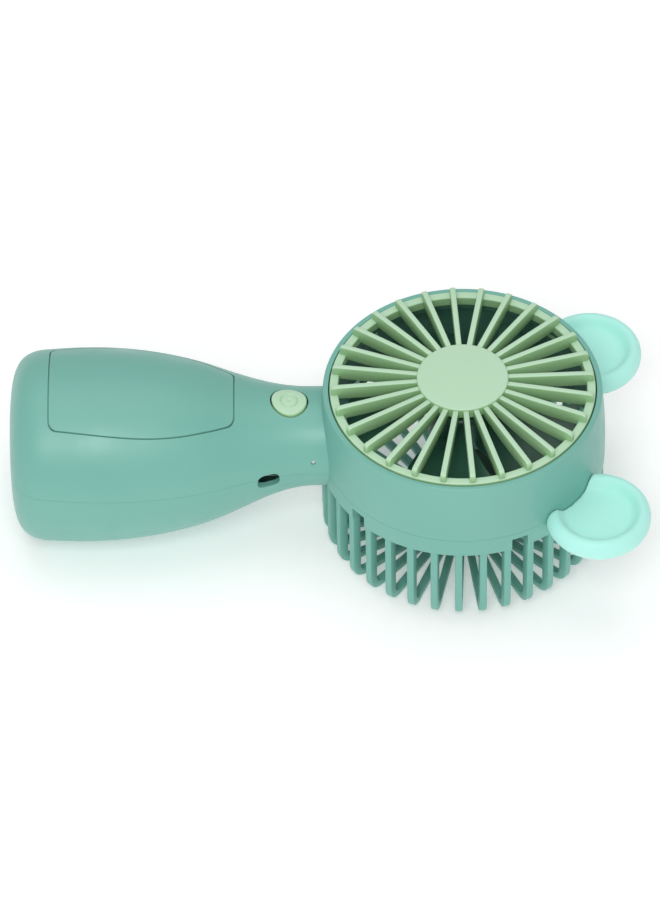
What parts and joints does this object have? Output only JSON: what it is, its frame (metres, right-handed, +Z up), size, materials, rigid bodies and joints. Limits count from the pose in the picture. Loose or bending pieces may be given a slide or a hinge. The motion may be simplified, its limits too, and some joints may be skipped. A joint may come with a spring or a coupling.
{
  "type": "handheld electric fan",
  "caption": "Battery powered hand fan with a round caged head, a bottle shaped handle with a lift-off cover, a push button and two soft dished ears.",
  "frame": {"origin": "on the ground under the middle of the fan as it lies on its back", "axes": "+X from the handle end towards the head and ears, +Y to the left side of the fan seen from the handle, +Z up, out of the front grille; the air axis leans 3.3 degrees from +Z towards -X"},
  "size_m": [0.2136, 0.1102, 0.0709],
  "materials": {
    "body_teal": "satin moulded plastic, muted teal",
    "grille_green": "satin moulded plastic, pale green",
    "ear_mint": "soft matt silicone, pale mint",
    "impeller_dark": "satin moulded plastic, very dark green",
    "motor_can": "plated deep-drawn steel",
    "steel": "plain plated steel",
    "bearing_bronze": "sintered bronze",
    "copper": "enamelled copper",
    "magnet": "dull dark ferrite",
    "cell_wrap": "shrunk blue film",
    "board": "green solder mask on glass fibre board",
    "wire_red": "red wire insulation",
    "wire_black": "black wire insulation",
    "black_plastic": "black moulded plastic",
    "clear_lens": "milky clear light guide"
  },
  "bodies": {
    "housing": {"front_shell": "body_teal", "back_shell": "body_teal", "ear_left": "ear_mint", "ear_right": "ear_mint", "motor_can": "motor_can", "motor_end_cap": "black_plastic", "front_bearing": "bearing_bronze", "rear_bearing": "bearing_bronze", "magnet_left": "magnet", "magnet_right": "magnet", "motor_clamp": "impeller_dark", "motor_screw_1": "steel", "motor_screw_2": "steel", "motor_screw_3": "steel", "battery_tray": "black_plastic", "battery_cell": "cell_wrap", "contact_plate": "steel", "contact_spring": "steel", "circuit_board": "board", "board_screw_1": "steel", "board_screw_2": "steel", "usb_shell": "steel", "usb_tongue": "black_plastic", "switch_body": "black_plastic", "charge_chip": "black_plastic", "storage_coil": "magnet", "filter_capacitor": "copper", "status_lamp": "clear_lens", "status_lens": "clear_lens", "motor_lead_red": "wire_red", "motor_lead_black": "wire_black", "battery_lead_red": "wire_red", "battery_lead_black": "wire_black", "case_screw_1": "steel", "case_screw_2": "steel", "case_screw_3": "steel", "case_screw_4": "steel", "case_screw_5": "steel", "case_screw_6": "steel"},
    "rotor": {"impeller": "impeller_dark", "motor_shaft": "steel", "armature": "copper", "commutator": "copper"},
    "button": {"power_button": "grille_green"},
    "plunger": {"switch_plunger": "black_plastic"},
    "cover": {"battery_cover": "body_teal"},
    "grille": {"front_grille": "grille_green"}
  },
  "joints": [
    {"name": "impeller_spin", "type": "hinge", "parent": "housing", "child": "rotor", "pos_m": [0.045, 0, 0.04398], "axis": [-0.0576, 0, 0.9983], "continuous": true},
    {"name": "button_press", "type": "slide", "parent": "housing", "child": "button", "axis": [0.0576, 0, -0.9983], "range_m": [0, 0.0007], "stiffness_N_per_m": 500},
    {"name": "plunger_press", "type": "slide", "parent": "housing", "child": "plunger", "axis": [0.0576, 0, -0.9983], "range_m": [0, 0.0007]},
    {"name": "cover_lift", "type": "slide", "parent": "housing", "child": "cover", "axis": [-0.0576, 0, 0.9983], "range_m": [0, 0.03]},
    {"name": "grille_lift", "type": "slide", "parent": "housing", "child": "grille", "axis": [-0.0576, 0, 0.9983], "range_m": [0, 0.03]}
  ],
  "couplings": [
    {"joint": "plunger_press", "follows": "button_press", "ratio": 1}
  ]
}
